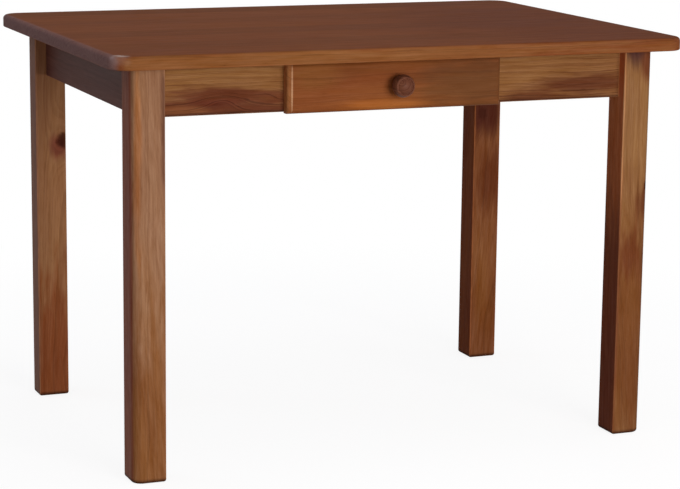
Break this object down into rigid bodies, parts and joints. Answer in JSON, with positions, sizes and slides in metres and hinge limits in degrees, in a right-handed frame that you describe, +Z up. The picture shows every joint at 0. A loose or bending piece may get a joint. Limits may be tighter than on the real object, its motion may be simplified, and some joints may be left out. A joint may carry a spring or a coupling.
{
  "type": "tavern table",
  "caption": "Rectangular wooden dining table on square legs, with a rounded tabletop edge and a drawer with a turned knob that slides out of the front apron.",
  "frame": {"origin": "on the floor under the middle of the tabletop", "axes": "+X along the long side, to the right as seen from the drawer's side; the drawer front faces -Y; +Z up"},
  "size_m": [1.1, 0.79, 0.76],
  "materials": {
    "top_pine": "walnut stain under satin lacquer",
    "leg_pine": "walnut stain under satin lacquer",
    "apron_pine": "walnut stain under satin lacquer",
    "front_pine": "walnut stain under satin lacquer",
    "knob_wood": "dark stain under satin lacquer",
    "bare_pine": "planed, bare",
    "thin_board": "sanded plywood, bare",
    "beech": "planed, bare",
    "zinc_steel": "bright zinc",
    "screw_steel": "yellow zinc",
    "nail_steel": "plain wire"
  },
  "bodies": {
    "table": {"tabletop_board_1": "top_pine", "tabletop_board_2": "top_pine", "tabletop_board_3": "top_pine", "tabletop_board_4": "top_pine", "tabletop_board_5": "top_pine", "tabletop_board_6": "top_pine", "tabletop_board_7": "top_pine", "tabletop_board_8": "top_pine", "leg_front_left": "leg_pine", "leg_front_right": "leg_pine", "leg_back_right": "leg_pine", "leg_back_left": "leg_pine", "apron_front": "apron_pine", "apron_back": "apron_pine", "apron_left": "apron_pine", "apron_right": "apron_pine", "corner_block_front_left": "bare_pine", "corner_block_front_right": "bare_pine", "corner_block_back_right": "bare_pine", "corner_block_back_left": "bare_pine", "drawer_runner_left": "bare_pine", "drawer_runner_right": "bare_pine", "drawer_guide_left": "bare_pine", "drawer_guide_right": "bare_pine", "drawer_kicker_left": "bare_pine", "drawer_kicker_right": "bare_pine", "apron_dowels": "beech", "top_buttons": "beech", "hanger_bolts": "zinc_steel", "bolt_washers": "zinc_steel", "bolt_nuts": "zinc_steel", "block_screws": "screw_steel", "top_button_screws": "screw_steel", "runner_screws": "screw_steel", "kicker_screws": "screw_steel"},
    "drawer": {"drawer_front": "front_pine", "drawer_knob": "knob_wood", "knob_screw": "screw_steel", "front_screws": "screw_steel", "drawer_side_left": "bare_pine", "drawer_side_right": "bare_pine", "drawer_inner_front": "bare_pine", "drawer_back": "bare_pine", "drawer_bottom": "thin_board", "box_nails": "nail_steel", "bottom_nails": "nail_steel"}
  },
  "joints": [
    {"name": "drawer_slide", "type": "slide", "parent": "table", "child": "drawer", "axis": [0, -1, 0], "range_m": [0, 0.3]}
  ]
}
